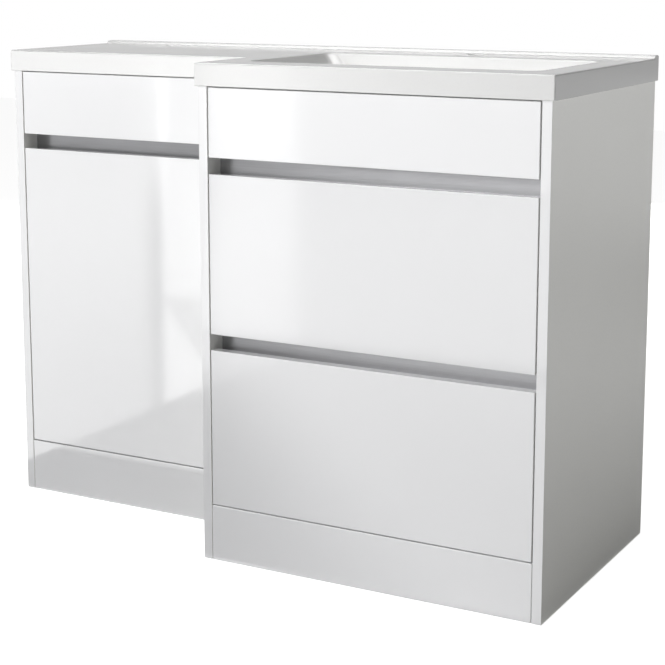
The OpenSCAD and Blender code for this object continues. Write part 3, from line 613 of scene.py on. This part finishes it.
def linen_laminate():
    """Pale grey drawer board with the fine crossed threads of a linen print."""
    m = Finish("drawer_board_finish", Metallic=0.0, IOR=1.46)
    base = (0.735, 0.738, 0.74)
    warp = m.noise(60.0, 3.0, stretch=(26, 1, 1))
    weft = m.noise(60.0, 3.0, stretch=(1, 1, 26))
    depth = m.noise(60.0, 3.0, stretch=(1, 26, 1))
    threads = m.blend(0.5, m.mix(warp, tone(base, 0.9), tone(base, 1.05)),
                      m.mix(weft, tone(base, 0.9), tone(base, 1.05)))
    m.colour(m.blend(0.33, threads, m.mix(depth, tone(base, 0.92), tone(base, 1.04))))
    m.rough(m.ramp(m.noise(90.0, 3.0), 0.44, 0.58))
    m.bump(warp, 0.00004, 0.35)
    m.bump(weft, 0.00004, 0.35)
    return m.material


def anodised():
    """Satin aluminium, brushed along its length, so that its gloss spreads across the brush lines."""
    m = Finish("handle_rail_finish", Metallic=1.0, Anisotropic=0.9, IOR=1.5)
    base = (0.36, 0.36, 0.37)
    lines = m.noise(7.0, 5.0, stretch=(0.5, 150, 150), roughness=0.6)
    m.colour(m.mix(lines, tone(base, 0.93), tone(base, 1.05)))
    m.rough(m.ramp(m.noise(30.0, 3.0, stretch=(0.6, 8, 8)), 0.3, 0.38))
    across = m.add("ShaderNodeTangent")
    across.direction_type, across.uv_map = "UV_MAP", ACROSS
    m.link(across.outputs["Tangent"], m.shader.inputs["Tangent"])
    m.bump(lines, 0.00002, 0.4)
    m.bump(m.noise(1600.0, 1.0), 0.00001, 0.3)
    return m.material


def zinc_sheet(name, base, scale, low, high, spangle):
    """Zinc-plated steel: cloudy, with a share of the crystals' facets, and roughness from low to high."""
    m = Finish(name, Metallic=1.0, IOR=1.5)
    flakes = m.mix(m.cells(scale).outputs["Color"], tone(base, 0.84), tone(base, 1.1), 0.2, 0.8)
    haze = m.mix(m.noise(scale * 0.4, 4.0), tone(base, 0.88), tone(base, 1.06))
    m.colour(m.blend(spangle, haze, flakes))
    m.rough(m.ramp(m.noise(scale * 0.9, 4.0), low, high))
    m.bump(m.noise(scale * 5.0, 2.0), 0.00002, 0.4)
    return m.material


def rolled_steel():
    """Zinc-plated runner sheet with the faint rolling lines along its length, which is Y."""
    m = Finish("runner_steel_finish", Metallic=1.0, Anisotropic=0.25, IOR=1.5)
    base = (0.66, 0.67, 0.69)
    lines = m.noise(10.0, 4.0, stretch=(90, 0.5, 90), roughness=0.6)
    haze = m.mix(m.noise(20.0, 4.0), tone(base, 0.9), tone(base, 1.06))
    m.colour(m.blend(0.5, haze, m.mix(lines, tone(base, 0.88), tone(base, 1.08))))
    m.rough(m.ramp(m.noise(34.0, 4.0), 0.24, 0.36))
    m.bump(lines, 0.00002, 0.4)
    return m.material


def bearing():
    """Steel of the ball cages and their balls, under a thin film of grease."""
    m = Finish("bearing_steel_finish", Metallic=1.0, IOR=1.5)
    base = (0.50, 0.50, 0.52)
    film = m.mix(m.noise(90.0, 4.0), tone(base, 0.8), tone(base, 1.12))
    m.colour(film)
    m.rough(m.ramp(m.noise(240.0, 3.0), 0.16, 0.32))
    m.bump(m.noise(900.0, 2.0), 0.00001, 0.4)
    return m.material


def beech():
    """Dowel wood with its rings and flecks along X."""
    m = Finish("beech_finish", Metallic=0.0, IOR=1.45)
    rings = m.noise(24.0, 5.0, stretch=(0.12, 1, 1), distortion=0.8)
    flecks = m.noise(420.0, 2.0, stretch=(0.12, 1, 1))
    grain = m.mix(rings, (0.60, 0.42, 0.25), (0.76, 0.58, 0.38))
    m.colour(m.blend(0.35, grain, m.mix(flecks, (0.42, 0.27, 0.15), (0.78, 0.6, 0.4), 0.32, 0.5)))
    m.rough(m.ramp(flecks, 0.5, 0.68))
    m.bump(flecks, 0.0001, 0.5)
    return m.material


def moulded():
    """White moulded plastic with a fine spark-eroded grain."""
    m = Finish("white_plastic_finish", Metallic=0.0, IOR=1.49)
    base = (0.82, 0.82, 0.81)
    m.colour(m.mix(m.noise(60.0, 3.0), tone(base, 0.96), tone(base, 1.02)))
    m.rough(m.ramp(m.noise(300.0, 2.0), 0.36, 0.5))
    m.bump(m.cells(1500.0).outputs["Distance"], 0.00003, 0.5)
    return m.material


finishes = {
    "top_gelcoat": gelcoat(),
    "gloss_front": gloss_wrap(),
    "side_board": satin_laminate(),
    "inner_board": matt_laminate(),
    "drawer_board": linen_laminate(),
    "handle_rail": anodised(),
    "zinc": zinc_sheet("zinc_finish", (0.68, 0.69, 0.71), 320.0, 0.2, 0.34, 0.3),
    "bracket_steel": zinc_sheet("bracket_steel_finish", (0.62, 0.63, 0.65), 150.0, 0.3, 0.46, 0.6),
    "runner_steel": rolled_steel(),
    "bearing_steel": bearing(),
    "beech": beech(),
    "white_plastic": moulded(),
}
edge_band = gloss_wrap("gloss_edge_finish")

for node in nodes.values():
    for index, material in enumerate(node.data.materials):
        node.data.materials[index] = finishes[material.name.split(".")[0]]

for piece in [top] + gloss_pieces + side_pieces + rail_pieces:
    piece.data.materials.clear()
    piece.data.materials.append(finishes[piece["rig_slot"]])
for piece in side_pieces:
    piece.data.materials.append(edge_band)
    for face in piece.data.polygons:
        face.material_index = BAND_FACE if face.normal.y < FACING_FRONT else BOARD_FACE


# ---- Studio: floor, world, soft boxes and reflector cards ----

FLOOR_REACH, FLOOR_DROP = 7.0, 0.0006         # metres out from the middle, and below the unit's feet
FLOOR_GLOW, AMBIENT = 0.8, 0.18               # what seen rays get from the floor, and matt faces from the sky
PLACE = "place"                               # map of a sheet's own 0 to 1 coordinates
NO_FADE, EDGE_FADE = (0.0, 0.0), (0.08, 0.08)


def seen_rays(tree):
    """1 for camera, glossy and transmission rays, which see the white background."""
    path = tree.nodes.new("ShaderNodeLightPath")
    total = path.outputs["Is Camera Ray"]
    for name in ("Is Glossy Ray", "Is Transmission Ray"):
        add = tree.nodes.new("ShaderNodeMath")
        add.operation, add.use_clamp = "ADD", True
        tree.links.new(total, add.inputs[0])
        tree.links.new(path.outputs[name], add.inputs[1])
        total = add.outputs[0]
    return total


def quad(name, corner, u, v):
    """A flat sheet from a corner along two sides, with its own 0 to 1 coordinates."""
    mesh = bpy.data.meshes.new(name)
    corner, u, v = Vector(corner), Vector(u), Vector(v)
    mesh.from_pydata([corner, corner + u, corner + u + v, corner + v], [], [(0, 1, 2, 3)])
    layer = mesh.uv_layers.new(name=PLACE)
    for loop, place in zip(layer.data, ((0, 0), (1, 0), (1, 1), (0, 1))):
        loop.uv = place
    made = bpy.data.objects.new(name, mesh)
    scene.collection.objects.link(made)
    return made


def make_floor():
    """A matt white floor that glows only where it is seen, so that it adds no light of its own."""
    floor = quad("floor", (-FLOOR_REACH, -FLOOR_REACH, -FLOOR_DROP),
                 (2 * FLOOR_REACH, 0, 0), (0, 2 * FLOOR_REACH, 0))
    material = bpy.data.materials.new("floor_finish")
    material.use_nodes = True
    tree = material.node_tree
    shader = next(n for n in tree.nodes if n.type == "BSDF_PRINCIPLED")
    shader.inputs["Roughness"].default_value = 0.9
    shader.inputs["Specular IOR Level"].default_value = 0.0
    coords = tree.nodes.new("ShaderNodeTexCoord")
    noise = tree.nodes.new("ShaderNodeTexNoise")
    noise.inputs["Scale"].default_value = 6.0
    ramp = tree.nodes.new("ShaderNodeValToRGB")
    ramp.color_ramp.elements[0].color = (0.80, 0.80, 0.80, 1)
    ramp.color_ramp.elements[1].color = (0.82, 0.82, 0.82, 1)
    tree.links.new(coords.outputs["Object"], noise.inputs["Vector"])
    tree.links.new(noise.outputs["Fac"], ramp.inputs["Fac"])
    tree.links.new(ramp.outputs["Color"], shader.inputs["Base Color"])
    shader.inputs["Emission Color"].default_value = (1, 1, 1, 1)
    glow = tree.nodes.new("ShaderNodeMath")
    glow.operation = "MULTIPLY"
    glow.inputs[1].default_value = FLOOR_GLOW
    tree.links.new(seen_rays(tree), glow.inputs[0])
    tree.links.new(glow.outputs[0], shader.inputs["Emission Strength"])
    floor.data.materials.append(material)


def make_world(level):
    """White to seen rays, and a weaker even light for all the others."""
    world = bpy.data.worlds.new("studio")
    world.use_nodes = True
    tree = world.node_tree
    tree.nodes.clear()
    seen, lit = tree.nodes.new("ShaderNodeBackground"), tree.nodes.new("ShaderNodeBackground")
    seen.inputs["Color"].default_value = lit.inputs["Color"].default_value = (1, 1, 1, 1)
    seen.inputs["Strength"].default_value, lit.inputs["Strength"].default_value = 1.0, level
    mix, out = tree.nodes.new("ShaderNodeMixShader"), tree.nodes.new("ShaderNodeOutputWorld")
    tree.links.new(seen_rays(tree), mix.inputs[0])
    tree.links.new(lit.outputs[0], mix.inputs[1])
    tree.links.new(seen.outputs[0], mix.inputs[2])
    tree.links.new(mix.outputs[0], out.inputs["Surface"])
    scene.world = world


def soft_box(name, place, target, size, power):
    """A lamp of that size in metres and power in watts, turned to its target."""
    lamp = bpy.data.lights.new(name, "AREA")
    lamp.shape, lamp.size, lamp.size_y, lamp.energy = "RECTANGLE", size[0], size[1], power
    made = bpy.data.objects.new(name, lamp)
    made.location = place
    made.rotation_euler = (Vector(target) - Vector(place)).to_track_quat("-Z", "Y").to_euler()
    scene.collection.objects.link(made)
    return made


def fading(tree, place, level, fade_u, fade_v, low, lean=None):
    """An emission strength that goes from level * low at a sheet's foot, v = 0, to level at its head.

    It fades out within the given shares of the sheet at its four sides. A lean (k, start, end) adds
    a slanted edge, where u + k v goes from start to end.
    """
    split = tree.nodes.new("ShaderNodeSeparateXYZ")
    tree.links.new(place, split.inputs[0])
    across, along = split.outputs["X"], split.outputs["Y"]
    slopes = [(along, 0.0, 1.0, level * low, level, "LINEAR")]
    for axis, fade in ((across, fade_u), (along, fade_v)):
        if fade[0]:
            slopes.append((axis, 0.0, fade[0], 0.0, 1.0, "SMOOTHSTEP"))
        if fade[1]:
            slopes.append((axis, 1.0 - fade[1], 1.0, 1.0, 0.0, "SMOOTHSTEP"))
    if lean:
        slant = tree.nodes.new("ShaderNodeMath")
        slant.operation = "MULTIPLY_ADD"
        slant.inputs[1].default_value = lean[0]
        tree.links.new(along, slant.inputs[0])
        tree.links.new(across, slant.inputs[2])
        slopes.append((slant.outputs[0], lean[1], lean[2], 0.0, 1.0, "SMOOTHSTEP"))
    total = None
    for axis, start, end, first, last, kind in slopes:
        node = tree.nodes.new("ShaderNodeMapRange")
        node.interpolation_type = kind
        for socket, value in (("From Min", start), ("From Max", end), ("To Min", first), ("To Max", last)):
            node.inputs[socket].default_value = value
        tree.links.new(axis, node.inputs["Value"])
        value = node.outputs["Result"]
        if total is not None:
            node = tree.nodes.new("ShaderNodeMath")
            node.operation = "MULTIPLY"
            tree.links.new(total, node.inputs[0])
            tree.links.new(value, node.inputs[1])
            value = node.outputs[0]
        total = value
    return total


def reflected_only(made):
    """Seen in gloss and metal alone: it lights nothing and casts no shadow."""
    made.visible_camera = made.visible_diffuse = made.visible_transmission = False
    made.visible_volume_scatter = made.visible_shadow = False


def card(name, corner, u, v, level, fade_u=NO_FADE, fade_v=NO_FADE, low=1.0):
    """A plain card beside the object, as its gloss sees it."""
    made = quad(name, corner, u, v)
    reflected_only(made)
    material = bpy.data.materials.new(name + "_light")
    material.use_nodes = True
    tree = material.node_tree
    tree.nodes.clear()
    place = tree.nodes.new("ShaderNodeUVMap")
    place.uv_map = PLACE
    light, out = tree.nodes.new("ShaderNodeEmission"), tree.nodes.new("ShaderNodeOutputMaterial")
    tree.links.new(fading(tree, place.outputs["UV"], level, fade_u, fade_v, low), light.inputs["Strength"])
    tree.links.new(light.outputs[0], out.inputs["Surface"])
    made.data.materials.append(material)


def sheen_box(name, corner, u, v, level, fade_u=EDGE_FADE, fade_v=EDGE_FADE, low=1.0, lean=None, on=None):
    """A soft box that shows only as sheen: on what a list names, or else on all but the metal."""
    u, v = Vector(u), Vector(v)
    lamp = bpy.data.lights.new(name, "AREA")
    lamp.shape, lamp.size, lamp.size_y = "RECTANGLE", u.length, v.length
    lamp.energy = math.pi * u.length * v.length
    lamp.use_nodes = True
    tree = lamp.node_tree
    light = next(n for n in tree.nodes if n.type == "EMISSION")
    place = tree.nodes.new("ShaderNodeNewGeometry")
    strength = fading(tree, place.outputs["Parametric"], level, fade_u, fade_v, low, lean)
    tree.links.new(strength, light.inputs["Strength"])
    made = bpy.data.objects.new(name, lamp)
    sides = Matrix((u.normalized(), v.normalized(), u.cross(v).normalized()))
    made.matrix_world = sides.transposed().to_4x4()
    made.location = Vector(corner) + (u + v) / 2
    scene.collection.objects.link(made)
    reflected_only(made)
    made.light_linking.receiver_collection = on or no_metal


def receivers(name, members, state):
    """A light's list: INCLUDE lights its members alone, EXCLUDE all but them."""
    made = bpy.data.collections.new(name)
    for member in members:
        made.objects.link(member)
    for member in made.collection_objects:
        member.light_linking.link_state = state
    return made


metals = {"handle_rail", "zinc", "bracket_steel", "runner_steel", "bearing_steel"}
metal_parts = rail_pieces + [node for node in nodes.values()
                             if node.data.materials[0].name.replace("_finish", "") in metals]
no_metal = receivers("no_metal", metal_parts, "EXCLUDE")
boards_alone = receivers("boards_alone", metal_parts + [top], "EXCLUDE")
top_alone = receivers("top_alone", [top], "INCLUDE")
left_sides = [piece for piece in side_pieces if "side_left" in piece.name]
no_left_sides = receivers("no_left_sides", left_sides, "EXCLUDE")
left_edge = [piece for piece in left_sides if "vanity" in piece.name]
left_edge_alone = receivers("left_edge_alone", left_edge, "INCLUDE")

make_floor()
make_world(AMBIENT)

# Lamps that light the unit: name, place, target, size and power.
soft_box("key", (-0.9, -4.1, 2.4), (0.0, 0.0, 0.45), (2.6, 2.6), 76)
soft_box("front_top", (-0.7, -1.75, 2.2), (0.15, -0.1, 0.6), (1.8, 0.9), 6)
bowl_light = soft_box("bowl_light", (0.22, -0.16, 1.06), (0.25, 0.112, 0.77), (0.46, 0.12), 0.16)
bowl_light.visible_camera = bowl_light.visible_glossy = False
bowl_light.light_linking.receiver_collection = top_alone
soft_box("overhead", (-0.3, 0.2, 3.2), (0.0, 0.0, 0.6), (2.4, 2.0), 4)
right_fill = soft_box("right_fill", (3.3, -1.4, 1.8), (0.5, 0.0, 0.4), (1.6, 1.6), 2)
right_fill.light_linking.receiver_collection = no_left_sides
back_fill = soft_box("back_fill", (-1.6, 3.4, 1.1), (0.0, 0.2, 0.4), (2.4, 2.4), 80)
back_fill.visible_glossy = False

# The sheen of the fronts and the top: name, corner, two sides and level.
# Far off in front stand a bright strip, and a sheet that only the slab's edge and the bowl see.
sheen_box("sheen_far", (-2.92, -4.6, 0.0), (6.4, 0, 0), (0, 0, 1.2), 3.2,
          fade_u=(0.01, 0.0), fade_v=(0.0, 0.2))
sheen_box("sheen_slab", (-4.6, -4.5, 0.0), (3.8, 0, 0), (0, 0, 2.4), 2.7,
          fade_u=(0.0, 0.6), fade_v=(0.0, 0.1), on=top_alone)
# The floor in front of them, with the slanted edge of the large mirror image.
sheen_box("sheen_floor", (-4.5, -1.5, 0.002), (8.0, 0, 0), (0, -3.05, 0), 2.0,
          fade_u=NO_FADE, fade_v=(0.07, 0.0), lean=(0.2435, 0.447, 0.46))
# The uprights at the left give the bands on the toilet cabinet's front, from its outer end inwards.
sheen_box("sheen_left_near", (-0.64, -0.07, 0.0), (0, -0.61, 0), (0, 0, 0.9), 3.15,
          fade_u=(0.06, 0.2), fade_v=(0.02, 0.0), low=0.38)
sheen_box("sheen_left_over", (-0.644, -0.56, 0.40), (0, -0.15, 0), (0, 0, 0.50), 2.9,
          fade_u=(0.8, 0.34), fade_v=(0.5, 0.0))
sheen_box("sheen_left_mid", (-0.648, -0.65, 0.0), (0, -0.42, 0), (0, 0, 0.9), 3.3,
          fade_u=(0.10, 0.1), fade_v=(0.02, 0.0), low=0.78)
sheen_box("sheen_left_far", (-0.64, -1.07, 0.0), (0, -0.55, 0), (0, 0, 0.9), 1.5,
          fade_u=(0.10, 0.22), fade_v=(0.02, 0.0), low=0.5)
# One for the vanity's left front edge, one at the right for its side, and one overhead.
sheen_box("sheen_edge", (-0.66, -1.05, 0.0), (0, -0.45, 0), (0, 0, 0.9), 1.5, low=0.6, on=left_edge_alone)
sheen_box("sheen_side", (1.6, 1.2, 0.0), (0, 2.0, 0), (0, 0, 1.3), 5.4,
          fade_u=(0.1, 0.7), low=0.25, on=boards_alone)
sheen_box("sheen_top", (-2.0, -1.6, 2.6), (4.0, 0, 0), (0, 2.4, 0), 6.0)

# Cards on the floor and behind, which the gloss mirrors in place of the bare floor and the sky.
card("card_floor_left", (-0.66, -0.30, 0.001), (0.54, 0, 0), (0, 0.22, 0), 0.1)
card("card_floor_corner", (-1.12, -0.75, 0.001), (-2.0, 0, 0), (-0.85, -1.05, 0), 0.08, low=16.0)
card("card_floor_right", (-0.07, -0.24, 0.001), (1.9, 0, 0), (-1.3, -1.46, 0), 3.0,
     fade_u=(0.3, 0.0), fade_v=(0.0, 0.14), low=0.68)
card("card_side", (0.553, -0.4, 0.001), (0, 3.6, 0), (1.3, 0, 0), 3.0, fade_u=(0.0, 0.6), low=0.08)
card("card_back", (-4.0, 3.0, 0.6), (7.0, 0, 0), (0, 0, 2.4), 0.22, low=3.4)
